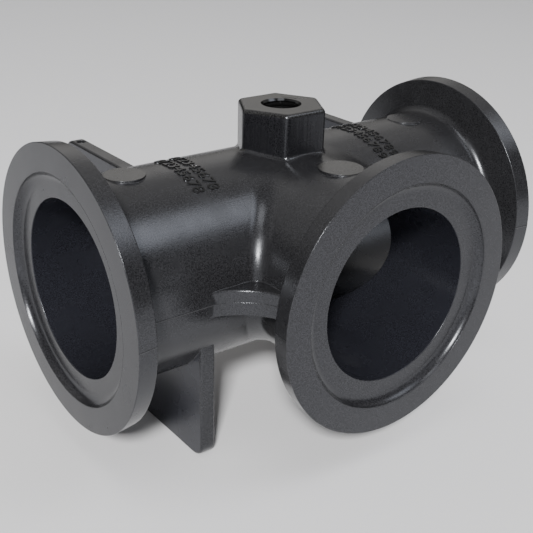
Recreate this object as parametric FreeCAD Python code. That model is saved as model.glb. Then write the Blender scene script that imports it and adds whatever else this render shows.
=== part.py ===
"""Flanged pipe tee, injection moulded in one piece.

The run lies along X and the branch points along -Y. The origin is where their two axes cross, and +Z is up.
Each of the three ends has a clamp flange: a narrow rim, a cone behind it, and a shallow gasket seat in its face.
On top stands a six-sided boss with a tapped port. Two square mounting plates stand across the run, and a curved
web fills each corner between run and branch at the height of the mould's parting plane. The larger rounds of the
turned ends and of the two corners are short straight steps between points of the arc, which keeps the mesh light.
"""
import FreeCAD, Part
import math
import os

from FreeCAD import Vector

# Run and branch, with the round where they meet
tube_radius = 31.1
bore_radius = 26.8
run_reach = 77.5
branch_reach = 59.1
corner_round = 5.0
corner_steps = 6
corner_sink = 0.05

# Clamp flange, its widths along the pipe and its radii out from the pipe's axis
flange_radius = 43.0
rim_width = 5.8
rim_draft = 0.6
rim_face_round = 0.6
cone_width = 2.8
neck_round = 3.6
neck_steps = 2

# Gasket seat in the flange face
seat_radius = 34.7
seat_depth = 2.4
seat_floor_round = 3.2
seat_floor_steps = 3

# Boss for the gauge port, with a tapping hole whose thread isn't cut here
boss_across_flats = 25.9
boss_top = 44.3
boss_corner_round = 1.5
boss_top_chamfer = 1.0
port_drill_radius = 5.7
port_mouth_radius = 6.4

# Square mounting plates across the run: distances from the run's axis to their edges
plate_inner_x = 43.4
plate_thickness = 5.0
plate_near = 27.0
plate_far = 55.0
plate_corner_round = 5.0
plate_edge_chamfer = 0.8
dimple_radius = 1.5
dimple_depth = 1.0
dimple_inset = 7.0

# Curved webs in the two corners
web_center = 52.6
web_radius = 22.3
web_half_height = 3.9
web_edge_chamfer = 0.5

# Round flats on the crown, left by the mould
flat_top = 31.35
flat_depth = 3.0
run_flat_center = 56.3
run_flat_radius = 6.1
branch_flat_center = 29.3
branch_flat_radius = 6.8

# How far a cutter runs past a face, and how close a point lies to what it is on
overrun = 1.0
near = 0.05

AXIS_X = Vector(1, 0, 0)
AXIS_Y = Vector(0, 1, 0)
AXIS_Z = Vector(0, 0, 1)
ORIGIN = Vector(0, 0, 0)
ENDS = [(AXIS_X, run_reach), (-AXIS_X, run_reach), (-AXIS_Y, branch_reach)]


def rounded_outline(corners):
    """Closed outline in the XZ plane through (x, z, round, steps) corners.

    Each round is a tangent arc, or the given number of straight steps between points of that arc.
    """
    points = [Vector(x, 0, z) for x, z, _, _ in corners]
    starts = []
    stops = []
    edges = []
    for place, (_, _, radius, steps) in enumerate(corners):
        point = points[place]
        back = (points[place - 1] - point).normalize()
        ahead = (points[(place + 1) % len(points)] - point).normalize()
        half_angle = back.getAngle(ahead) / 2
        start = point + back * (radius / math.tan(half_angle))
        stop = point + ahead * (radius / math.tan(half_angle))
        starts.append(start)
        stops.append(stop)
        if radius > 0:
            toward_center = (back + ahead).normalize()
            deep = point + toward_center * (radius / math.sin(half_angle) - radius)
            arc = Part.Arc(start, deep, stop).toShape()
            edges.extend(Part.makePolygon(arc.discretize(steps + 1)).Edges if steps else [arc])
    edges.extend(Part.makeLine(stops[place - 1], starts[place]) for place in range(len(corners)))
    return Part.Wire(Part.__sortEdges__(edges))


def revolved(corners):
    """Solid of revolution about Z from (radius, height, round, steps) corners."""
    return Part.Face(rounded_outline(corners)).revolve(ORIGIN, AXIS_Z, 360)


def turned_to(solid, direction):
    """Turns a solid drawn along +Z to a level direction, with its seam low on one side, clear of other edges."""
    seam = Vector(abs(direction.y), abs(direction.x), -1).normalize()
    turned = solid.copy()
    turned.Placement = FreeCAD.Placement(ORIGIN, FreeCAD.Rotation(seam, direction.cross(seam), direction, "ZXY"))
    return turned


def edges_where(solid, test):
    """Edges of a solid whose middle point passes the test."""
    found = []
    for edge in solid.Edges:
        middle = edge.valueAt((edge.FirstParameter + edge.LastParameter) / 2)
        if test(middle):
            found.append(edge)
    return found


def pipe_end(reach):
    """Half of a pipe without its bore, from the tee's centre out to the face of its clamp flange."""
    rim_back = reach - rim_width
    cone_start = rim_back - cone_width
    back_radius = flange_radius - rim_draft
    return revolved([(0, 0, 0, 0), (tube_radius, 0, 0, 0), (tube_radius, cone_start, neck_round, neck_steps),
                     (back_radius, rim_back, 0, 0), (flange_radius, reach, rim_face_round, 1), (0, reach, 0, 0)])


def end_cutter(reach):
    """Bore and gasket seat of one end, as the solid to take away."""
    floor = reach - seat_depth
    outside = reach + overrun
    return revolved([(0, 0, 0, 0), (bore_radius, 0, 0, 0), (bore_radius, floor, 0, 0),
                     (seat_radius, floor, seat_floor_round, seat_floor_steps), (seat_radius, outside, 0, 0),
                     (0, outside, 0, 0)])


def corner_rounds(side):
    """Round in the corner between run and branch, with the same plan at every height, as a row of upright strips.

    The two pipes are equal, so they cross in an upright ellipse, and each strip is half of that ellipse moved
    along one short step of the round's plan. The half ellipse is sunk a little, so that it runs out in the crown.
    """
    plan = []
    for step in range(corner_steps + 1):
        angle = math.radians(90 * step / corner_steps)
        plan.append(Vector(side * corner_round * (1 - math.sin(angle)), -corner_round * (1 - math.cos(angle)), 0))
    plan[0] += (plan[0] - plan[1]).normalize() * overrun
    plan[-1] += (plan[-1] - plan[-2]).normalize() * overrun
    strips = []
    for start, stop in zip(plan, plan[1:]):
        far = start + Vector(side * tube_radius, -tube_radius, 0)
        top = start + AXIS_Z * (tube_radius - corner_sink)
        arc = Part.Arc(Part.Ellipse(far, top, start), -math.pi / 2, math.pi / 2).toShape()
        closing_line = Part.makeLine(arc.Vertexes[0].Point, arc.Vertexes[-1].Point)
        strips.append(Part.Face(Part.Wire([arc, closing_line])).extrude(stop - start))
    return strips


def corner_web(side):
    """Level web in the corner between run and branch, its outer face a hollow curve."""
    height = 2 * web_half_height
    block = Part.makeBox(web_center, web_center, height, Vector(min(0, side * web_center), -web_center, -height / 2))
    hollow = Part.makeCylinder(web_radius, 2 * height, Vector(side * web_center, -web_center, -height))
    web = block.cut(hollow)

    def on_hollow_rim(spot):
        from_center = math.hypot(spot.x - side * web_center, spot.y + web_center)
        return abs(from_center - web_radius) < near and abs(spot.z) > web_half_height - near

    return web.makeChamfer(web_edge_chamfer, edges_where(web, on_hollow_rim))


def boss():
    """Six-sided boss, two of its corners pointing along the run."""
    corner_reach = boss_across_flats / math.sqrt(3)
    corners = []
    for step in range(6):
        angle = math.radians(60 * step)
        corners.append(Vector(corner_reach * math.cos(angle), corner_reach * math.sin(angle), 0))
    prism = Part.Face(Part.makePolygon(corners + corners[:1])).extrude(AXIS_Z * boss_top)
    upright = edges_where(prism, lambda spot: abs(spot.z - boss_top / 2) < near)
    prism = prism.makeFillet(boss_corner_round, upright)
    top_edges = edges_where(prism, lambda spot: abs(spot.z - boss_top) < near)
    return prism.makeChamfer(boss_top_chamfer, top_edges)


def port_cutter():
    """Tapping hole of the port, down into the run's bore, with a 45 degree countersink at its mouth."""
    countersink = port_mouth_radius - port_drill_radius
    return revolved([(0, 0, 0, 0), (port_drill_radius, 0, 0, 0), (port_drill_radius, boss_top - countersink, 0, 0),
                     (port_mouth_radius + overrun, boss_top + overrun, 0, 0), (0, boss_top + overrun, 0, 0)])


def mounting_plate(outer_x):
    """Square plate across the run, open where the pipe passes, with its outer face at the given x."""
    outline = rounded_outline([(-plate_near, -plate_far, plate_corner_round, 0),
                               (plate_far, -plate_far, plate_corner_round, 0),
                               (plate_far, plate_near, plate_corner_round, 0),
                               (0, plate_near, 0, 0), (-plate_near, 0, 0, 0)])
    plate = Part.Face(outline).extrude(AXIS_Y * plate_thickness)
    rims = edges_where(plate, lambda spot: min(spot.y, plate_thickness - spot.y) < near)
    plate = plate.makeChamfer(plate_edge_chamfer, rims)
    plate.rotate(ORIGIN, AXIS_Z, 90)
    plate.translate(AXIS_X * outer_x)
    return plate


def plate_dimple(side):
    """Small round pit in the upper edge of a mounting plate."""
    center = Vector(side * (plate_inner_x + plate_thickness / 2), plate_far - dimple_inset,
                    plate_near - dimple_depth)
    return Part.makeCylinder(dimple_radius, dimple_depth + overrun, center)


def crown_flat(center, radius):
    """Round flat on the crown."""
    return Part.makeCylinder(radius, flat_depth, center + AXIS_Z * (flat_top - flat_depth))


def tee_body():
    """The whole moulding."""
    added = [turned_to(pipe_end(reach), direction) for direction, reach in ENDS]
    added += [boss(), mounting_plate(plate_inner_x + plate_thickness), mounting_plate(-plate_inner_x)]
    added.append(crown_flat(AXIS_Y * -branch_flat_center, branch_flat_radius))
    cut = [turned_to(end_cutter(reach), direction) for direction, reach in ENDS]
    cut.append(port_cutter())
    for side in (-1, 1):
        added += [corner_web(side), crown_flat(AXIS_X * side * run_flat_center, run_flat_radius)]
        added += corner_rounds(side)
        cut.append(plate_dimple(side))
    return added[0].fuse(added[1:]).cut(cut).removeSplitter().Solids[0]


if __name__ == "__main__":
    os.makedirs("parts", exist_ok=True)
    tee_body().exportStep("parts/tee_body.step")
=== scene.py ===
# %% [markdown]
# A flanged pipe tee in black moulded plastic.
# The tee joins three pipes. Each end has a clamp flange with a shallow seat for a gasket, a six-sided boss
# on top takes a pressure gauge, and two square plates hold the tee on a bracket. The whole thing is one
# moulding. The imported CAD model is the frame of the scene. The dressed body made here has the same main
# sizes, with every round as a true curve, so that light runs over the edges as it does on the real part.
# The small edge rounds, the foot of the boss, the wider corner rounds near the crown, the step between the
# two halves of the mould, the thread and the raised numbers are added here, because the CAD source leaves
# them out. Sizes are in millimetres, and each is named in the cell that first needs it.

# %% Load the frame
import bpy
import bmesh
import math
from mathutils import Matrix, Vector


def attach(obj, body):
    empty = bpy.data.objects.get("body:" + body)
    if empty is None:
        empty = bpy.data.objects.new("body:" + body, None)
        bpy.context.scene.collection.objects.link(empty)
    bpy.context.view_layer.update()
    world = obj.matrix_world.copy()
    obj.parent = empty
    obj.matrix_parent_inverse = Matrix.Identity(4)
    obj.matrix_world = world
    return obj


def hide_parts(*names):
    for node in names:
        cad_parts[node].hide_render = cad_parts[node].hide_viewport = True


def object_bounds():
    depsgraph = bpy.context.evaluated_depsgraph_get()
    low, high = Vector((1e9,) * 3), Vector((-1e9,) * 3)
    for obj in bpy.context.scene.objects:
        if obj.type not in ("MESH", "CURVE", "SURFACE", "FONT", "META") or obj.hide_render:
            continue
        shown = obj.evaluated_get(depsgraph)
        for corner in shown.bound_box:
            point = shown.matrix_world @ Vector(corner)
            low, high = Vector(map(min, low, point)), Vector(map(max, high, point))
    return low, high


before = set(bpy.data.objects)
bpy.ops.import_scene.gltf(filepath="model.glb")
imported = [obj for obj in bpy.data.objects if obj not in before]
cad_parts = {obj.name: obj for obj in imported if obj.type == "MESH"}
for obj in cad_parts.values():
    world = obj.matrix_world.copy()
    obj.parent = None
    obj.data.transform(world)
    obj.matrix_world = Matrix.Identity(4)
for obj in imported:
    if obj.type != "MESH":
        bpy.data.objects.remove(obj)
cad_low, cad_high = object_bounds()
scene = bpy.context.scene
mm = 0.001
print("CAD box in mm:", [round(v / mm, 1) for v in (*cad_low, *cad_high)])

# %% [markdown]
# The camera.
# A camera is a place and three directions: what is right, what is up, and what lies behind it. They were
# found by fitting the round edges of the flanges to the photograph. The lens follows from the field of
# view, and nothing is shifted, so the same lens serves for every other view as well.

# %% Camera
camera_place = Vector((-171.52, -213.57, 113.96)) * mm
camera_forward = Vector((0.56057, 0.71459, -0.41847)).normalized()
camera_down = Vector((-0.23579, -0.34668, -0.90786))
camera_right = camera_down.cross(camera_forward).normalized()
camera_up = camera_right.cross(camera_forward)
camera_data = bpy.data.cameras.new("camera")
camera_data.sensor_width = 36
camera_data.lens = 59.85
camera_data.clip_start = 0.01
camera = bpy.data.objects.new("camera", camera_data)
camera_turn = Matrix((camera_right, camera_up, -camera_forward)).transposed()
camera.matrix_world = Matrix.Translation(camera_place) @ camera_turn.to_4x4()
scene.collection.objects.link(camera)
scene.camera = camera
print("camera", round(camera_place.length / mm), "mm from the middle of the tee")

# %% [markdown]
# The floor and the light.
# Small black parts are photographed on a pale floor, because black plastic shows almost nothing but
# reflections. The floor gives the flange faces their grey. A small strong soft box just above the camera
# gives the sharp lights along the edges, and a weak one high over the tee opens up the shadows.

# %% Floor
floor_mesh = bpy.data.meshes.new("floor")
floor_reach = 6.0
floor_corners = [(-1, -1), (1, -1), (1, 1), (-1, 1)]
floor_points = [(x * floor_reach, y * floor_reach, cad_low.z) for x, y in floor_corners]
floor_mesh.from_pydata(floor_points, [], [range(4)])
floor = bpy.data.objects.new("floor", floor_mesh)
scene.collection.objects.link(floor)
floor_paint = bpy.data.materials.new("floor_white")
floor_paint.use_nodes = True
floor_shader = floor_paint.node_tree.nodes["Principled BSDF"]
floor_shader.inputs["Base Color"].default_value = (0.78, 0.78, 0.8, 1)
floor_shader.inputs["Roughness"].default_value = 0.7
floor_mesh.materials.append(floor_paint)
print("the floor reaches", floor_reach, "m each way")

# %% Soft boxes
def soft_box(name, direction, distance, size, power, color):
    """Square lamp that looks at the tee from the given direction."""
    lamp_data = bpy.data.lights.new(name, "AREA")
    lamp_data.shape = "SQUARE"
    lamp_data.size = size
    lamp_data.energy = power
    lamp_data.color = color
    lamp = bpy.data.objects.new(name, lamp_data)
    away = Vector(direction).normalized()
    lamp_turn = away.to_track_quat("Z", "Y").to_matrix().to_4x4()
    lamp.matrix_world = Matrix.Translation(away * distance) @ lamp_turn
    scene.collection.objects.link(lamp)
    print(name, "stands", distance, "m away")


soft_box("key_box", (-0.546, -0.606, 0.579), 2.4, 0.3, 96.0, (1.0, 0.99, 0.97))
soft_box("top_box", (-0.13, -0.22, 0.97), 2.0, 0.8, 6.5, (1.0, 1.0, 1.0))

# %% [markdown]
# The room.
# A black surface shows the room it stands in, so the room is part of the picture. It is dark, with seven
# soft bright patches: two low ones behind the camera and one high on its right, and four behind the tee.
# The high one is small and strong, as a window would be, and draws the long light along the run. Each
# patch is one entry of the table: its compass angle, height angle, width, strength and tint. A picture of
# a real room could be wrapped round the scene instead, but a patch can be moved without moving the rest.

# %% Room
sky = bpy.data.worlds.new("studio_sky")
sky.use_nodes = True
scene.world = sky
nodes = sky.node_tree.nodes
links = sky.node_tree.links
sky_direction = nodes.new("ShaderNodeTexCoord")
warm = (1.0, 0.975, 0.94)
cool = (0.95, 0.97, 1.0)
daylight = (0.91, 0.94, 1.0)
patches = [(225, 12, 42, 0.4, cool), (270, 12, 42, 0.4, cool), (318, 53, 20, 4.1, daylight),
           (0, 45, 38, 0.4, warm), (60, 45, 38, 0.45, warm), (120, 45, 38, 0.55, warm),
           (55, 21, 24, 0.5, warm)]
total = None
for around, up, width, strength, tint in patches:
    level = math.cos(math.radians(up))
    towards = (level * math.cos(math.radians(around)), level * math.sin(math.radians(around)),
               math.sin(math.radians(up)))
    nearness = nodes.new("ShaderNodeVectorMath")
    nearness.operation = "DOT_PRODUCT"
    nearness.inputs[1].default_value = towards
    links.new(sky_direction.outputs["Generated"], nearness.inputs[0])
    patch = nodes.new("ShaderNodeMapRange")
    patch.interpolation_type = "SMOOTHSTEP"
    patch.inputs["From Min"].default_value = math.cos(math.radians(width))
    patch.inputs["To Max"].default_value = strength
    links.new(nearness.outputs["Value"], patch.inputs["Value"])
    tinted = nodes.new("ShaderNodeVectorMath")
    tinted.operation = "MULTIPLY_ADD"
    tinted.inputs[1].default_value = tint
    tinted.inputs[2].default_value = (0, 0, 0)
    links.new(patch.outputs[0], tinted.inputs[0])
    if total:
        links.new(total, tinted.inputs[2])
    total = tinted.outputs[0]
links.new(total, nodes["Background"].inputs["Color"])
print(len(patches), "bright patches in the room")

# %% [markdown]
# A lathe made of nodes.
# Pipes, flanges, seats, the port and the round flats are all turned forms: one outline swept round an
# axis. The Screw modifier could turn them, but a node tree can also round the outline's corners first,
# each by its own radius, so the outline is just its corner points. Curve to Mesh sweeps the outline round
# a small circle, the spindle, and Merge by Distance closes the poles on the axis.

# %% Helpers for node trees
def tree_input(tree, name, kind, value=None):
    """Named input of a node tree, with what a modifier starts from."""
    socket = tree.interface.new_socket(name=name, in_out="INPUT", socket_type=kind)
    if value is not None:
        socket.default_value = value
    return socket


def new_tree(name):
    """Empty node tree for a modifier, with its two ends."""
    tree = bpy.data.node_groups.new(name, "GeometryNodeTree")
    tree.is_modifier = True
    tree_input(tree, "Geometry", "NodeSocketGeometry")
    tree.interface.new_socket(name="Geometry", in_out="OUTPUT", socket_type="NodeSocketGeometry")
    return tree, tree.nodes.new("NodeGroupInput"), tree.nodes.new("NodeGroupOutput")


def math_node(operation, first, second):
    """Output of a Math node in the tree being built, whose inputs are sockets or numbers."""
    made = nodes.new("ShaderNodeMath")
    made.operation = operation
    for place, value in enumerate((first, second)):
        if isinstance(value, (int, float)):
            made.inputs[place].default_value = value
        else:
            links.new(value, made.inputs[place])
    return made.outputs[0]


# %% The lathe tree
spindle = 10.0 * mm
lathe_tree, lathe_in, lathe_out = new_tree("Lathe")
tree_input(lathe_tree, "Segments", "NodeSocketInt", 192)
tree_input(lathe_tree, "Round Steps", "NodeSocketInt", 8)
tree_input(lathe_tree, "Turn", "NodeSocketVector", (0, 0, 0))
tree_input(lathe_tree, "Place", "NodeSocketVector", (0, 0, 0))
nodes = lathe_tree.nodes
links = lathe_tree.links
outline = nodes.new("GeometryNodeMeshToCurve")
links.new(lathe_in.outputs["Geometry"], outline.inputs[0])
corner_size = nodes.new("GeometryNodeInputNamedAttribute")
corner_size.data_type = "FLOAT"
corner_size.inputs["Name"].default_value = "round"
rounded = nodes.new("GeometryNodeFilletCurve")
rounded.mode = "POLY"
links.new(outline.outputs[0], rounded.inputs["Curve"])
links.new(lathe_in.outputs["Round Steps"], rounded.inputs["Count"])
links.new(corner_size.outputs["Attribute"], rounded.inputs["Radius"])
spot = nodes.new("GeometryNodeInputPosition")
spot_parts = nodes.new("ShaderNodeSeparateXYZ")
links.new(spot.outputs[0], spot_parts.inputs[0])
laid_flat = nodes.new("ShaderNodeCombineXYZ")
links.new(math_node("SUBTRACT", spot_parts.outputs["X"], spindle), laid_flat.inputs["X"])
links.new(math_node("MULTIPLY", spot_parts.outputs["Z"], -1.0), laid_flat.inputs["Y"])
moved = nodes.new("GeometryNodeSetPosition")
links.new(rounded.outputs[0], moved.inputs["Geometry"])
links.new(laid_flat.outputs[0], moved.inputs["Position"])
ring = nodes.new("GeometryNodeCurvePrimitiveCircle")
ring.inputs["Radius"].default_value = spindle
links.new(lathe_in.outputs["Segments"], ring.inputs["Resolution"])
swept = nodes.new("GeometryNodeCurveToMesh")
links.new(ring.outputs["Curve"], swept.inputs["Curve"])
links.new(moved.outputs[0], swept.inputs["Profile Curve"])
closed = nodes.new("GeometryNodeMergeByDistance")
closed.inputs["Distance"].default_value = 0.0005 * mm
links.new(swept.outputs[0], closed.inputs["Geometry"])
placed = nodes.new("GeometryNodeTransform")
links.new(closed.outputs[0], placed.inputs["Geometry"])
links.new(lathe_in.outputs["Turn"], placed.inputs["Rotation"])
links.new(lathe_in.outputs["Place"], placed.inputs["Translation"])
made_real = nodes.new("GeometryNodeRealizeInstances")
links.new(placed.outputs[0], made_real.inputs[0])
links.new(made_real.outputs[0], lathe_out.inputs[0])
print("the lathe has", len(nodes), "nodes")


# %% Helpers that make and keep a form
def set_input(modifier, name, value):
    """Sets a modifier's input by its name, through the socket's identifier."""
    for item in modifier.node_group.interface.items_tree:
        if item.name == name and item.in_out == "INPUT":
            modifier[item.identifier] = value


def as_object(name, mesh):
    """Object of a mesh in the scene."""
    made = bpy.data.objects.new(name, mesh)
    scene.collection.objects.link(made)
    return made


def plain_mesh(source, name):
    """Mesh of an object with its modifiers worked in."""
    graph = bpy.context.evaluated_depsgraph_get()
    mesh = bpy.data.meshes.new_from_object(source.evaluated_get(graph), depsgraph=graph)
    mesh.name = name
    return mesh


def outward(mesh):
    """Points the faces of a closed mesh outwards."""
    work = bmesh.new()
    work.from_mesh(mesh)
    bmesh.ops.recalc_face_normals(work, faces=work.faces)
    if work.calc_volume(signed=True) < 0:
        bmesh.ops.reverse_faces(work, faces=work.faces)
    volume = work.calc_volume(signed=True)
    work.to_mesh(mesh)
    work.free()
    return volume


# %% A turned form
def turned(name, corners, turn=(0, 0, 0), place=(0, 0, 0), segments=192):
    """Turned form from (radius, height, round) corners that run from the axis to the axis."""
    mesh = bpy.data.meshes.new(name + "_outline")
    steps = [(step, step + 1) for step in range(len(corners) - 1)]
    mesh.from_pydata([(radius * mm, 0, along * mm) for radius, along, _ in corners], steps, [])
    rounds = mesh.attributes.new("round", "FLOAT", "POINT")
    rounds.data.foreach_set("value", [size * mm for _, _, size in corners])
    blank = as_object(name + "_outline", mesh)
    lathe = blank.modifiers.new("Lathe", "NODES")
    lathe.node_group = lathe_tree
    set_input(lathe, "Segments", segments)
    set_input(lathe, "Turn", [math.radians(angle) for angle in turn])
    set_input(lathe, "Place", [value * mm for value in place])
    form = as_object(name, plain_mesh(blank, name))
    bpy.data.objects.remove(blank)
    volume = outward(form.data)
    print(name, len(form.data.polygons), "faces", round(volume / mm ** 3), "cubic mm")
    return form


# %% [markdown]
# The run and the branch.
# The run is one outline from face to face and the branch is half of such an outline. The rim is a little
# smaller round at its back, because the mould has to let it go. Behind it a short steep cone comes down to
# the tube and flows into it with a round of 3.6 mm. Cylinders and cones could be put together for this,
# but one outline keeps rim, cone and neck in a single form. The bores and the gasket seats are turned
# forms too, kept apart until they are cut away.

# %% Pipes with their clamp flanges
tube_radius = 31.1
run_reach = 77.5
branch_reach = 59.1
flange_radius = 43.0
rim_width = 5.8
rim_draft = 0.6
cone_width = 2.8
neck_round = 3.6
edge_round = 0.2
small_round = 0.25


def flange_corners(reach):
    """Corners of one pipe end, from the tube out to the middle of the face."""
    rim_back = reach - rim_width
    return [(tube_radius, rim_back - cone_width, neck_round),
            (flange_radius - rim_draft, rim_back, small_round),
            (flange_radius, reach, edge_round), (0, reach, 0)]


def mirrored(corners):
    """The same corners on the other side of the middle, in opposite order."""
    return [(radius, -along, size) for radius, along, size in reversed(corners)]


along_run = (0, 90, 0)
along_branch = (90, 0, 0)
run_corners = flange_corners(run_reach)
added = [turned("run", mirrored(run_corners) + run_corners, along_run)]
branch_corners = [(0, 0, 0), (tube_radius, 0, 0)] + flange_corners(branch_reach)
added.append(turned("branch", branch_corners, along_branch))


# %% Bores with their gasket seats
bore_radius = 26.8
seat_radius = 34.7
seat_depth = 2.4
seat_floor_round = 3.2
lip_rise = 0.02
overrun = 1.0


def seat_corners(reach):
    """Corners of the space inside one end, from the bore out past the face.

    At the face it turns outwards, which rounds the edge of the seat, and it runs over by some way.
    """
    floor_height = reach - seat_depth
    return [(bore_radius, floor_height, small_round), (seat_radius, floor_height, seat_floor_round),
            (seat_radius, reach, small_round), (seat_radius + small_round * 1.1, reach + lip_rise, 0),
            (seat_radius, reach + overrun, 0), (0, reach + overrun, 0)]


run_space = seat_corners(run_reach)
cut = [turned("run_space", mirrored(run_space) + run_space, along_run)]
branch_space = [(0, 0, 0), (bore_radius, 0, 0)] + seat_corners(branch_reach)
cut.append(turned("branch_space", branch_space, along_branch))

# %% [markdown]
# Prisms from stacked outlines.
# The boss, the plates and the webs are flat outlines with thickness, and their edges are rounded. A form
# like that is a stack of outlines, each a little smaller towards the end, joined by faces. The outline
# shrinks by moving its corner arcs inwards, so it keeps its number of points and the stack joins up by
# itself. A Bevel modifier could round plain edges as well, but the foot of the boss has to follow the curve
# of the crown, and a stack can do that too. Each web is made as an upper and a lower half, and the lower
# one stands out by a hair, because the two halves of a mould never meet quite flush.

# %% Rounded outlines
def rounded_outline(corners, inset):
    """Points of a closed outline through (x, y, round) corners, moved inwards by the inset."""
    points = []
    for place, (x, y, size) in enumerate(corners):
        here = Vector((x, y))
        back = (Vector(corners[place - 1][:2]) - here).normalized()
        ahead = (Vector(corners[(place + 1) % len(corners)][:2]) - here).normalized()
        half = back.angle(ahead) / 2
        center = here + (back + ahead).normalized() * (size / math.sin(half))
        first = (here + back * (size / math.tan(half)) - center).normalized()
        sweep = math.pi - 2 * half
        if first.x * ahead.y - first.y * ahead.x < 0:
            sweep = -sweep
        for step in range(7):
            turned_by = Matrix.Rotation(sweep * step / 6, 2)
            points.append(center + turned_by @ first * (size - inset))
    return points


# %% Stacks of outlines
def stack(name, levels):
    """Closed form from (height, outline points) levels. A height may also be a list, one for each point."""
    points = []
    for level, outline_points in levels:
        heights = level if isinstance(level, list) else [level] * len(outline_points)
        points += [(x, y, height) for (x, y), height in zip(outline_points, heights)]
    count = len(levels[0][1])
    faces = [list(range(count)), list(range(len(points) - count, len(points)))]
    for level in range(len(levels) - 1):
        for step in range(count):
            after = (step + 1) % count
            low = level * count
            faces.append([low + step, low + after, low + count + after, low + count + step])
    mesh = bpy.data.meshes.new(name)
    mesh.from_pydata([Vector(point) * mm for point in points], [], faces)
    form = as_object(name, mesh)
    volume = outward(mesh)
    print(name, len(mesh.polygons), "faces", round(volume / mm ** 3), "cubic mm")
    return form


def edge_levels(bottom, top, size, outline_at, round_bottom=True):
    """Levels of a prism whose end edges are rounded by the given size."""
    curve = [math.radians(15 * step) for step in range(7)]
    edge = [(size * (1 - math.sin(angle)), outline_at(size * (1 - math.cos(angle)))) for angle in curve]
    upper = [(top - drop, outline_points) for drop, outline_points in edge]
    if not round_bottom:
        return [(bottom, outline_at(0))] + upper
    lower = [(bottom + drop, outline_points) for drop, outline_points in edge]
    return lower[::-1] + upper


# %% Boss
boss_across_flats = 25.9
boss_top = 44.3
boss_corner_round = 2.2
boss_top_round = 1.4
corner_reach = boss_across_flats / math.sqrt(3)
hexagon = []
for step in range(6):
    angle = math.radians(60 * step)
    hexagon.append((corner_reach * math.cos(angle), corner_reach * math.sin(angle), boss_corner_round))


def boss_outline(inset):
    """Outline of the boss, moved inwards by the inset, or outwards where the inset is negative."""
    return rounded_outline(hexagon, inset)


added.append(stack("boss", edge_levels(0, boss_top, boss_top_round, boss_outline, False)))

# %% Foot of the boss
# The base lies inside the pipe and the cap inside the boss. The sinks keep the foot a hair under the crown
# and inside the sides of the boss, so that it runs out cleanly.
corner_sink = 0.01
boss_foot_round = 1.3
boss_foot_sink = 0.02
boss_foot_base = 20.0
boss_foot_cap = 2.0


def crown_height(x, y):
    """Height of the pipes' crown over a place."""
    aside = y if y > 0 else min(abs(x), abs(y))
    return math.sqrt(tube_radius ** 2 - aside ** 2)


foot_levels = [(boss_foot_base, boss_outline(-boss_foot_round))]
for step in range(7):
    angle = math.radians(15 * step)
    spots = boss_outline(boss_foot_sink - boss_foot_round * (1 - math.sin(angle)))
    rise = boss_foot_round * (1 - math.cos(angle)) - corner_sink
    foot_levels.append(([crown_height(x, y) + rise for x, y in spots], spots))
foot_levels.append((boss_top - boss_foot_cap, boss_outline(boss_foot_cap)))
added.append(stack("boss_foot", foot_levels))

# %% Mounting plates
# From the run's axis, near is how far a plate reaches upwards and forwards, and far is down and back.
plate_inner_x = 43.4
plate_thickness = 5.0
plate_near = 27.0
plate_far = 55.0
plate_corner_round = 5.0
plate_inner_round = 1.5
plate_edge_round = 0.8
plate_corners = [(-plate_near, -plate_far, plate_corner_round), (plate_far, -plate_far, plate_corner_round),
                 (plate_far, plate_near, plate_corner_round), (0, plate_near, plate_inner_round),
                 (-plate_near, 0, plate_inner_round)]


def plate_outline(inset):
    """Outline of a mounting plate, moved inwards by the inset."""
    return rounded_outline(plate_corners, inset)


plate_turn = Matrix(((0, 0, 1), (1, 0, 0), (0, 1, 0))).to_4x4()
for side in (-1, 1):
    left, right = sorted((side * plate_inner_x, side * (plate_inner_x + plate_thickness)))
    plate = stack("plate", edge_levels(left, right, plate_edge_round, plate_outline))
    plate.data.transform(plate_turn)
    added.append(plate)


# %% Corner webs
# The hollow edge is an arc about a point that lies this far from both axes.
web_center = 52.6
web_radius = 22.3
web_half_height = 3.9
web_edge_round = 0.5
web_step = 0.06
web_step_round = 0.05


def web_outline(inset, side):
    """Outline of a web with its hollow edge moved inwards by the inset."""
    outer_part = [(0, 0), (web_center, 0)]
    for step in range(25):
        angle = math.radians(90 - 90 * step / 24)
        radius = web_radius + inset
        outer_part.append((web_center - radius * math.cos(angle), -web_center + radius * math.sin(angle)))
    outer_part.append((0, -web_center))
    return [Vector((side * x, y)) for x, y in outer_part]


def web_half(name, bottom, top, size, extra, side):
    """Upper or lower half of a web, standing out by the extra."""
    return stack(name, edge_levels(bottom, top, size, lambda inset: web_outline(inset - extra, side)))


for side in (-1, 1):
    added.append(web_half("upper_web", -overrun, web_half_height, web_edge_round, 0, side))
    added.append(web_half("lower_web", -web_half_height, 0, web_step_round, web_step, side))


# %% [markdown]
# The round in each corner between run and branch.
# The two pipes are equal, so they cross in an upright ellipse. The mould maker runs one 5 mm arc down the
# corner, so every level of the stack has that arc, and only its place follows the ellipse. Near the crown
# the arc widens to 9 mm, so that the corner fades into the top of the tee. A bevel along the crossing edge
# would pinch there, where that edge runs out, so each round is a form of its own.

# %% Corner rounds
corner_round = 5.0
crown_round = 9.0
corner_back = 3.0


def corner_section(rise, side):
    """Level of a corner round at the given angle up the ellipse, as (height, outline)."""
    reach = tube_radius * math.cos(rise)
    size = corner_round + (crown_round - corner_round) * max(0, math.sin(rise)) ** 6
    points = []
    for step in range(13):
        angle = math.radians(90 * step / 12)
        across = size * (1 - math.sin(angle)) + reach
        ahead = size * (1 - math.cos(angle)) + reach
        points.append((side * across, -ahead))
    points.append((side * (reach - corner_back), -reach + corner_back))
    return (tube_radius - corner_sink) * math.sin(rise), points


for side in (-1, 1):
    rises = [math.radians(-90 + 180 * step / 72) for step in range(73)]
    added.append(stack("corner", [corner_section(rise, side) for rise in rises]))

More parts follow.
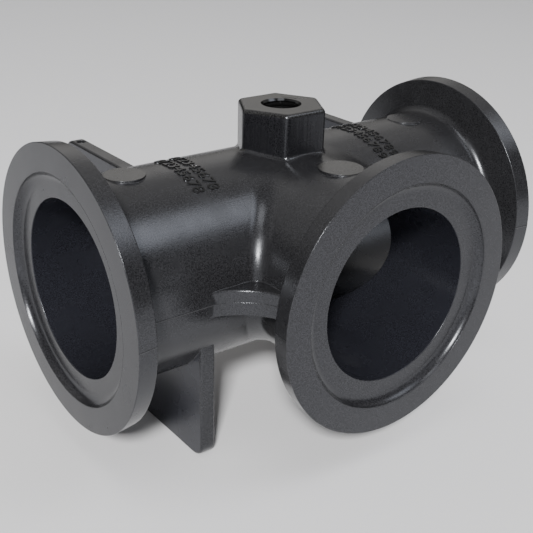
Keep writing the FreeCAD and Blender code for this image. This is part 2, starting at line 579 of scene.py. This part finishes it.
# %% [markdown]
# Flats, port and dimples.
# The mould leaves three round flats on the crown, and each plate has a small pit in its upper edge. They
# could be cylinders with a bevel, but the lathe is there already and rounds their edges as it turns them.
# The port is turned too: a smooth hole with a bevelled mouth, down into the bore.

# %% Round flats on the crown
flat_top = 31.35
flat_depth = 3.0
flat_edge_round = 0.05
# Each flat's place along and across the run, and its radius
crown_flats = [(-56.3, 0, 6.1), (56.3, 0, 6.1), (0, -29.3, 6.8)]
for x, y, radius in crown_flats:
    flat_corners = [(0, flat_top - flat_depth, 0), (radius, flat_top - flat_depth, 0),
                    (radius, flat_top, flat_edge_round), (0, flat_top, 0)]
    added.append(turned("flat", flat_corners, place=(x, y, 0), segments=96))

# %% Port and dimples
port_drill_radius = 5.7
port_mouth_radius = 6.4
dimple_radius = 1.5
dimple_depth = 1.0
dimple_inset = 7.0
dimple_floor_round = 0.2
mouth_depth = port_mouth_radius - port_drill_radius
port_corners = [(0, 0, 0), (port_drill_radius, 0, 0), (port_drill_radius, boss_top - mouth_depth, 0),
                (port_mouth_radius + overrun, boss_top + overrun, 0), (0, boss_top + overrun, 0)]
cut.append(turned("port", port_corners, segments=64))
dimple_corners = [(0, -dimple_depth, 0), (dimple_radius, -dimple_depth, dimple_floor_round),
                  (dimple_radius, overrun, 0), (0, overrun, 0)]
for side in (-1, 1):
    dimple_place = (side * (plate_inner_x + plate_thickness / 2), plate_far - dimple_inset, plate_near)
    cut.append(turned("dimple", dimple_corners, place=dimple_place, segments=48))

# %% [markdown]
# The thread of the port.
# A gauge screws into a tapered pipe thread, 18 turns to the inch. The groove of a thread is a triangle
# swept along a spiral, so three nodes make it: a spiral, a circle of only three points, and Curve to Mesh.
# The Screw modifier sweeps along a spiral too, but the spiral node has a radius for each end, which gives
# the taper. The swept groove is one more form to cut away.

# %% The thread tree
thread_depth_share = 0.54
thread_tree, thread_in, thread_out = new_tree("Thread groove")
tree_input(thread_tree, "Pitch", "NodeSocketFloat", 1.0)
tree_input(thread_tree, "Turns", "NodeSocketFloat", 10.0)
tree_input(thread_tree, "Bottom Radius", "NodeSocketFloat", 5.0)
tree_input(thread_tree, "Top Radius", "NodeSocketFloat", 5.5)
tree_input(thread_tree, "Bottom", "NodeSocketFloat", 0.0)
nodes = thread_tree.nodes
links = thread_tree.links
spiral = nodes.new("GeometryNodeCurveSpiral")
spiral.inputs["Resolution"].default_value = 40
links.new(thread_in.outputs["Turns"], spiral.inputs["Rotations"])
links.new(thread_in.outputs["Bottom Radius"], spiral.inputs["Start Radius"])
links.new(thread_in.outputs["Top Radius"], spiral.inputs["End Radius"])
spiral_height = math_node("MULTIPLY", thread_in.outputs["Pitch"], thread_in.outputs["Turns"])
links.new(spiral_height, spiral.inputs["Height"])
triangle = nodes.new("GeometryNodeCurvePrimitiveCircle")
triangle.inputs["Resolution"].default_value = 3
links.new(math_node("MULTIPLY", thread_in.outputs["Pitch"], thread_depth_share), triangle.inputs["Radius"])
tip_outwards = nodes.new("GeometryNodeTransform")
tip_outwards.inputs["Rotation"].default_value = (0, 0, math.pi)
links.new(triangle.outputs["Curve"], tip_outwards.inputs["Geometry"])
upright_curve = nodes.new("GeometryNodeSetCurveNormal")
upright_curve.mode = "Z_UP"
links.new(spiral.outputs[0], upright_curve.inputs[0])
groove = nodes.new("GeometryNodeCurveToMesh")
groove.inputs["Fill Caps"].default_value = True
links.new(upright_curve.outputs[0], groove.inputs["Curve"])
links.new(tip_outwards.outputs[0], groove.inputs["Profile Curve"])
lift = nodes.new("ShaderNodeCombineXYZ")
links.new(thread_in.outputs["Bottom"], lift.inputs["Z"])
lifted = nodes.new("GeometryNodeTransform")
links.new(groove.outputs[0], lifted.inputs["Geometry"])
links.new(lift.outputs[0], lifted.inputs["Translation"])
made_real = nodes.new("GeometryNodeRealizeInstances")
links.new(lifted.outputs[0], made_real.inputs[0])
links.new(made_real.outputs[0], thread_out.inputs[0])

# %% Thread groove
thread_pitch = 25.4 / 18
thread_turns = 12
thread_mouth_radius = 6.4
thread_taper = 1 / 16
thread_from_top = 0.8
thread_length = thread_pitch * thread_turns
top_radius = thread_mouth_radius - thread_depth_share * thread_pitch
blank = as_object("thread_blank", bpy.data.meshes.new("thread_blank"))
threader = blank.modifiers.new("Thread", "NODES")
threader.node_group = thread_tree
set_input(threader, "Pitch", thread_pitch * mm)
set_input(threader, "Turns", float(thread_turns))
set_input(threader, "Bottom Radius", (top_radius - thread_length * thread_taper / 2) * mm)
set_input(threader, "Top Radius", top_radius * mm)
set_input(threader, "Bottom", (boss_top - thread_length - thread_from_top) * mm)
thread = as_object("thread", plain_mesh(blank, "thread"))
bpy.data.objects.remove(blank)
outward(thread.data)
reaches = [math.hypot(corner.co.x, corner.co.y) / mm for corner in thread.data.vertices]
print("thread groove", len(thread.data.polygons), "faces, out to", round(max(reaches), 2), "mm")
cut.append(thread)

# %% [markdown]
# The raised numbers.
# A mould marks its parts with small raised numbers, here in two blocks across the crown. String to Curves
# writes them, Fill Curve and Extrude Mesh give them thickness, and Set Position then rolls the flat rows
# round the tube: the way along a row becomes an angle. A text object bent along a curve would do as well,
# but here one tree serves all four rows.

# %% The tree that writes numbers
number_rise = 0.4
number_sink = 0.25
number_tree, number_in, number_out = new_tree("Raised numbers")
tree_input(number_tree, "Text", "NodeSocketString", "0")
tree_input(number_tree, "Size", "NodeSocketFloat", 1.0)
tree_input(number_tree, "Place Along", "NodeSocketFloat", 0.0)
tree_input(number_tree, "Start Angle", "NodeSocketFloat", 0.0)
nodes = number_tree.nodes
links = number_tree.links
written = nodes.new("GeometryNodeStringToCurves")
links.new(number_in.outputs["Text"], written.inputs["String"])
links.new(number_in.outputs["Size"], written.inputs["Size"])
one_by_one = nodes.new("GeometryNodeRealizeInstances")
links.new(written.outputs[0], one_by_one.inputs[0])
coarse = nodes.new("GeometryNodeSetSplineResolution")
coarse.inputs["Resolution"].default_value = 3
links.new(one_by_one.outputs[0], coarse.inputs[0])
filled = nodes.new("GeometryNodeFillCurve")
links.new(coarse.outputs[0], filled.inputs["Curve"])
thick = nodes.new("GeometryNodeExtrudeMesh")
thick.inputs["Offset Scale"].default_value = (number_rise + number_sink) * mm
thick.inputs["Individual"].default_value = False
links.new(filled.outputs[0], thick.inputs["Mesh"])
underside = nodes.new("GeometryNodeFlipFaces")
links.new(filled.outputs[0], underside.inputs[0])
both_sides = nodes.new("GeometryNodeJoinGeometry")
links.new(underside.outputs[0], both_sides.inputs[0])
links.new(thick.outputs["Mesh"], both_sides.inputs[0])
closed = nodes.new("GeometryNodeMergeByDistance")
closed.inputs["Distance"].default_value = 0.001 * mm
links.new(both_sides.outputs[0], closed.inputs["Geometry"])

# %% Roll the rows round the tube
flat_spot = nodes.new("GeometryNodeInputPosition")
flat_parts = nodes.new("ShaderNodeSeparateXYZ")
links.new(flat_spot.outputs[0], flat_parts.inputs[0])
way_round = math_node("DIVIDE", flat_parts.outputs["X"], tube_radius * mm)
way_round = math_node("ADD", way_round, number_in.outputs["Start Angle"])
from_axis = math_node("ADD", flat_parts.outputs["Z"], (tube_radius - number_sink) * mm)
forward = math_node("MULTIPLY", math_node("SINE", way_round, 0.0), math_node("MULTIPLY", from_axis, -1.0))
upward = math_node("MULTIPLY", math_node("COSINE", way_round, 0.0), from_axis)
rolled = nodes.new("ShaderNodeCombineXYZ")
links.new(math_node("ADD", flat_parts.outputs["Y"], number_in.outputs["Place Along"]), rolled.inputs["X"])
links.new(forward, rolled.inputs["Y"])
links.new(upward, rolled.inputs["Z"])
round_the_tube = nodes.new("GeometryNodeSetPosition")
links.new(closed.outputs[0], round_the_tube.inputs["Geometry"])
links.new(rolled.outputs[0], round_the_tube.inputs["Position"])
made_real = nodes.new("GeometryNodeRealizeInstances")
links.new(round_the_tube.outputs[0], made_real.inputs[0])
links.new(made_real.outputs[0], number_out.inputs[0])

# %% Number rows
number_height = 3.9
number_start_angle = math.radians(-15)
font_size_per_height = 1.38
# What each row says, and where it stands along the run
number_rows = [("012345678", -42.3), ("012345678", -37.2), ("0123456789", 28.2), ("0123456789", 33.3)]
for text, along in number_rows:
    blank = as_object("numbers_blank", bpy.data.meshes.new("numbers_blank"))
    writer = blank.modifiers.new("Numbers", "NODES")
    writer.node_group = number_tree
    set_input(writer, "Text", text)
    set_input(writer, "Size", number_height * font_size_per_height * mm)
    set_input(writer, "Place Along", along * mm)
    set_input(writer, "Start Angle", number_start_angle)
    row = as_object("numbers", plain_mesh(blank, "numbers"))
    bpy.data.objects.remove(blank)
    outward(row.data)
    heights = [corner.co.z / mm for corner in row.data.vertices]
    print("numbers", len(row.data.polygons), "faces, up to", round(max(heights), 2), "mm")
    added.append(row)

# %% [markdown]
# One moulding.
# On the real part all of this is one shot of plastic, so the forms are joined and the spaces are cut out
# of them. Boolean modifiers could do it one by one; a node tree does it in one step from two collections.

# %% Collect the forms
def collected(name, forms):
    """Collection that holds only these forms."""
    made = bpy.data.collections.new(name)
    scene.collection.children.link(made)
    for form in forms:
        scene.collection.objects.unlink(form)
        made.objects.link(form)
    return made


added_forms = collected("added_forms", added)
cut_forms = collected("cut_forms", cut)

# %% Join and cut
moulding_tree, moulding_in, moulding_out = new_tree("Moulding")
tree_input(moulding_tree, "Added", "NodeSocketCollection")
tree_input(moulding_tree, "Cut", "NodeSocketCollection")
tree_input(moulding_tree, "Material", "NodeSocketMaterial")
nodes = moulding_tree.nodes
links = moulding_tree.links
joined = nodes.new("GeometryNodeMeshBoolean")
joined.operation = "UNION"
joined.solver = "MANIFOLD"
hollowed = nodes.new("GeometryNodeMeshBoolean")
hollowed.operation = "DIFFERENCE"
hollowed.solver = "MANIFOLD"
for name, boolean in (("Added", joined), ("Cut", hollowed)):
    forms_in = nodes.new("GeometryNodeCollectionInfo")
    forms_in.inputs["Separate Children"].default_value = True
    links.new(moulding_in.outputs[name], forms_in.inputs["Collection"])
    links.new(forms_in.outputs["Instances"], boolean.inputs["Mesh 2"])
links.new(joined.outputs["Mesh"], hollowed.inputs["Mesh 1"])
made_real = nodes.new("GeometryNodeRealizeInstances")
links.new(hollowed.outputs["Mesh"], made_real.inputs[0])
painted = nodes.new("GeometryNodeSetMaterial")
links.new(made_real.outputs[0], painted.inputs["Geometry"])
links.new(moulding_in.outputs["Material"], painted.inputs["Material"])
links.new(painted.outputs[0], moulding_out.inputs[0])
print(len(added), "forms to join,", len(cut), "to cut away")

# %% [markdown]
# The plastic.
# Glass-filled polypropylene comes out of the mould satin black, with a faint mottle where the fibres lie
# near the skin. One node group gives the mottle, the fine grain, the softened edges and three marks of the
# mould: the seam where its halves meet, the streaks that the sides of the boss get when the part is drawn
# out, and a ring on the top of the boss. Its Edges output says where the edges are, and each material turns
# lighter there, a painted edge highlight. Each material takes from the group what it needs: the outer skin,
# the flange faces, the bores, the top of the boss, the sides of the boss, darker by painted shade, two of
# the round flats, lighter by a painted sheen, and port and numbers, near black by painted shade. Each
# material could hold the patterns itself, but a shared group keeps them alike.

# %% The skin group
skin = bpy.data.node_groups.new("Moulded skin", "ShaderNodeTree")
for name, value in (("Grain Size", 0.5), ("Grain Height", 0.03), ("Cloud Size", 9.0), ("Edge Round", 0.4),
                    ("Seam Height", 0.0), ("Draw Height", 0.0), ("Ring Height", 0.0)):
    socket = skin.interface.new_socket(name=name, in_out="INPUT", socket_type="NodeSocketFloat")
    socket.default_value = value
for name in ("Tone", "Clouds", "Edges"):
    skin.interface.new_socket(name=name, in_out="OUTPUT", socket_type="NodeSocketFloat")
skin.interface.new_socket(name="Normal", in_out="OUTPUT", socket_type="NodeSocketVector")
nodes = skin.nodes
links = skin.links
skin_in = nodes.new("NodeGroupInput")
skin_out = nodes.new("NodeGroupOutput")
where = nodes.new("ShaderNodeTexCoord")


# %% Patterns of the skin
def stretched(value, low, high, start=0.0, stop=1.0):
    """The range from low to high, spread over start to stop."""
    spread = nodes.new("ShaderNodeMapRange")
    for name, limit in (("From Min", low), ("From Max", high), ("To Min", start), ("To Max", stop)):
        spread.inputs[name].default_value = limit
    links.new(value, spread.inputs["Value"])
    return spread.outputs[0]


def mottle(size, detail, stretch=(1, 1, 1)):
    """Noise of the given size in millimetres over the piece."""
    squeezed = nodes.new("ShaderNodeVectorMath")
    squeezed.operation = "MULTIPLY"
    squeezed.inputs[1].default_value = stretch
    links.new(where.outputs["Object"], squeezed.inputs[0])
    noise = nodes.new("ShaderNodeTexNoise")
    noise.inputs["Detail"].default_value = detail
    links.new(squeezed.outputs[0], noise.inputs["Vector"])
    links.new(math_node("DIVIDE", 1 / mm, size), noise.inputs["Scale"])
    return noise.outputs["Fac"]


def ridge(distance, width):
    """Narrow ridge where a distance is nought, falling to nothing over the width."""
    return stretched(math_node("ABSOLUTE", distance, 0.0), 0.0, width * mm, 1.0, 0.0)


grain = mottle(skin_in.outputs["Grain Size"], 1)
clouds = mottle(skin_in.outputs["Cloud Size"], 4)
draw_marks = mottle(0.7, 2, (1, 1, 0.02))
links.new(stretched(grain, 0.33, 0.67), skin_out.inputs["Tone"])
links.new(clouds, skin_out.inputs["Clouds"])

# %% Edges, seam and ring mark
ring_mark_radius = 8.0
where_parts = nodes.new("ShaderNodeSeparateXYZ")
links.new(where.outputs["Object"], where_parts.inputs[0])
seam = ridge(where_parts.outputs["Z"], 0.25)
from_port = math_node("SQRT", math_node("ADD", math_node("POWER", where_parts.outputs["X"], 2.0),
                                        math_node("POWER", where_parts.outputs["Y"], 2.0)), 0.0)
ring_mark = ridge(math_node("SUBTRACT", from_port, ring_mark_radius * mm), 0.3)
heights = math_node("MULTIPLY", grain, skin_in.outputs["Grain Height"])
for pattern, name in ((seam, "Seam Height"), (draw_marks, "Draw Height"), (ring_mark, "Ring Height")):
    heights = math_node("ADD", heights, math_node("MULTIPLY", pattern, skin_in.outputs[name]))
soft_edges = nodes.new("ShaderNodeBevel")
soft_edges.samples = 6
links.new(math_node("MULTIPLY", skin_in.outputs["Edge Round"], mm), soft_edges.inputs["Radius"])
bumps = nodes.new("ShaderNodeBump")
bumps.inputs["Distance"].default_value = mm
links.new(heights, bumps.inputs["Height"])
links.new(soft_edges.outputs[0], bumps.inputs["Normal"])
links.new(bumps.outputs[0], skin_out.inputs["Normal"])
true_surface = nodes.new("ShaderNodeNewGeometry")
edge_turn = nodes.new("ShaderNodeVectorMath")
edge_turn.operation = "DOT_PRODUCT"
links.new(soft_edges.outputs[0], edge_turn.inputs[0])
links.new(true_surface.outputs["Normal"], edge_turn.inputs[1])
links.new(stretched(edge_turn.outputs["Value"], 0.99, 0.8), skin_out.inputs["Edges"])
print("the skin group has", len(nodes), "nodes")


# %% A plastic material
# The lighter colour that edges turn to is a painted edge highlight.
edge_highlight_tone = (0.03, 0.03, 0.032, 1)


def plastic(name, dark, light, smooth, rough, gleam=0.5, **settings):
    """Black plastic between two tones and two roughnesses, with settings for the skin group."""
    made = bpy.data.materials.new(name)
    made.use_nodes = True
    nodes = made.node_tree.nodes
    links = made.node_tree.links
    shader = nodes["Principled BSDF"]
    shader.inputs["IOR"].default_value = 1.5
    shader.inputs["Specular IOR Level"].default_value = gleam
    shader.inputs["Specular Tint"].default_value = (0.90, 0.93, 1.0, 1)
    surface = nodes.new("ShaderNodeGroup")
    surface.node_tree = skin
    for setting, value in settings.items():
        surface.inputs[setting.replace("_", " ").title()].default_value = value
    tone = nodes.new("ShaderNodeMix")
    tone.data_type = "RGBA"
    tone.inputs["A"].default_value = (*dark, 1)
    tone.inputs["B"].default_value = (*light, 1)
    links.new(surface.outputs["Tone"], tone.inputs["Factor"])
    # Along the edges the colour turns lighter, a painted edge highlight.
    edge_highlight = nodes.new("ShaderNodeMix")
    edge_highlight.data_type = "RGBA"
    edge_highlight.inputs["B"].default_value = edge_highlight_tone
    links.new(surface.outputs["Edges"], edge_highlight.inputs["Factor"])
    links.new(tone.outputs["Result"], edge_highlight.inputs["A"])
    links.new(edge_highlight.outputs["Result"], shader.inputs["Base Color"])
    gloss = nodes.new("ShaderNodeMapRange")
    gloss.inputs["From Min"].default_value = 0.3
    gloss.inputs["From Max"].default_value = 0.7
    gloss.inputs["To Min"].default_value = smooth
    gloss.inputs["To Max"].default_value = rough
    links.new(surface.outputs["Clouds"], gloss.inputs["Value"])
    links.new(gloss.outputs[0], shader.inputs["Roughness"])
    links.new(surface.outputs["Normal"], shader.inputs["Normal"])
    print(name, "is", smooth, "to", rough, "rough")
    return made


# %% The seven finishes
skin_black = plastic("skin_black", (0.009, 0.009, 0.010), (0.022, 0.022, 0.024), 0.17, 0.31, grain_size=0.4,
                     grain_height=0.025, seam_height=0.09, edge_round=0.4)
face_black = plastic("face_black", (0.008, 0.008, 0.009), (0.024, 0.024, 0.027), 0.19, 0.28, gleam=0.42,
                     grain_size=0.4, grain_height=0.014, edge_round=0.25)
bore_black = plastic("bore_black", (0.009, 0.009, 0.012), (0.018, 0.019, 0.025), 0.24, 0.30, grain_size=0.35,
                     grain_height=0.015)
boss_black = plastic("boss_black", (0.005, 0.005, 0.005), (0.026, 0.026, 0.026), 0.17, 0.30, grain_size=0.4,
                     grain_height=0.03, cloud_size=4.0, ring_height=0.15)
# Sides of the boss: the darker tone is painted shade; the draw streaks are bumps.
shaded_draw_black = plastic("shaded_draw_black", (0.004, 0.004, 0.005), (0.014, 0.014, 0.016), 0.24, 0.30, gleam=0.35,
                     grain_size=0.35, grain_height=0.01, draw_height=0.08, edge_round=0.6)
# Two of the round flats: the lighter tone is a painted sheen.
sheen_flat_black = plastic("sheen_flat_black", (0.020, 0.020, 0.020), (0.044, 0.043, 0.042), 0.22, 0.30, grain_size=0.4,
                     grain_height=0.015, edge_round=0.05)
# Port and numbers: the near black is painted shade.
painted_shade_black = plastic("painted_shade_black", (0.003, 0.003, 0.003), (0.007, 0.007, 0.007), 0.12, 0.18, gleam=0.45,
                     grain_height=0.0, edge_round=0.05)

# %% [markdown]
# The body and its finishes.
# The result of the tree becomes a plain mesh, and the forms it was made of go. Each face then gets the
# finish of its place, found from where its middle lies: on a flange's end, in a bore, on the boss, on a
# flat, in the port or on a number, and the outer skin for all the rest. Three of these carry painted light:
# the sides of the boss are darker by painted shade, two flats lighter by a painted sheen, and port and
# numbers near black by painted shade. Faces could be picked by hand, but a rule by place still holds when
# a size changes. The right flat keeps the skin's own finish, as in the photograph. Weighted normals keep
# the flat faces flat and the rounds round.

# %% Make the body
blank = as_object("moulding_blank", bpy.data.meshes.new("moulding_blank"))
moulding = blank.modifiers.new("Moulding", "NODES")
moulding.node_group = moulding_tree
set_input(moulding, "Added", added_forms)
set_input(moulding, "Cut", cut_forms)
set_input(moulding, "Material", skin_black)
body_mesh = plain_mesh(blank, "tee_moulding")
bpy.data.objects.remove(blank)
for form in added + cut:
    bpy.data.objects.remove(form)
for emptied in (added_forms, cut_forms):
    bpy.data.collections.remove(emptied)
body_mesh.materials.clear()
print("tee_moulding", len(body_mesh.polygons), "faces")

# %% Finishes by place
# No number stands further forward than the first value. The other two say how close to the tube or a bore,
# and to the floor of a seat, still counts as on it.
number_front = -27.0
near = 0.05
near_seat = 0.1
finishes = (skin_black, face_black, bore_black, boss_black, shaded_draw_black, sheen_flat_black, painted_shade_black)
sheen_flats = (crown_flats[0], crown_flats[2])


def finish_at(spot, upward):
    """Finish of a face, from its middle in millimetres and how far its normal points up."""
    x, y, z = spot
    from_run = math.hypot(y, z)
    from_branch = math.hypot(x, z)
    from_port = math.hypot(x, y)
    raised = tube_radius + near < from_run < tube_radius + number_rise + near and y > number_front
    in_a_row = any(along - overrun < x < along + number_height + overrun for _, along in number_rows)
    # The port and the raised numbers get the near black, a painted shade.
    if (raised and in_a_row) or (from_port < thread_mouth_radius and z > tube_radius):
        return painted_shade_black
    # Two of the round flats get a lighter tone, a painted sheen.
    if z > tube_radius and any(math.hypot(x - middle_x, y - middle_y) < radius
                               for middle_x, middle_y, radius in sheen_flats):
        return sheen_flat_black
    if abs(x) > run_reach - seat_depth - near_seat and from_run < flange_radius - edge_round:
        return face_black
    if -y > branch_reach - seat_depth - near_seat and from_branch < flange_radius - edge_round:
        return face_black
    if from_run < bore_radius + near or (y < 0 and from_branch < bore_radius + near):
        return bore_black
    # Upward faces of the boss get its plastic, the sides a darker tone of painted shade.
    if from_port < corner_reach + boss_foot_round and z > flat_top:
        return boss_black if upward > 0.2 else shaded_draw_black
    return skin_black


# %% Give each face its finish
for finish in finishes:
    body_mesh.materials.append(finish)
for face in body_mesh.polygons:
    face.material_index = finishes.index(finish_at(face.center / mm, face.normal.z))
for index, finish in enumerate(finishes):
    print(finish.name, "on", sum(face.material_index == index for face in body_mesh.polygons), "faces")

# %% Shade the body
smooth_angle = math.radians(20)
body_mesh.shade_smooth()
body_mesh.set_sharp_from_angle(angle=smooth_angle)
body = as_object("tee_moulding", body_mesh)
weighted = body.modifiers.new("Weighted", "WEIGHTED_NORMAL")
weighted.keep_sharp = True
body.data = plain_mesh(body, "tee_moulding")
body.modifiers.clear()
body.data.calc_loop_triangles()
print("tee_moulding", len(body.data.loop_triangles), "triangles")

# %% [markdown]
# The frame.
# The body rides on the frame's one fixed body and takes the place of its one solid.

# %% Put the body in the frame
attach(body, "root")
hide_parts("tee_body")
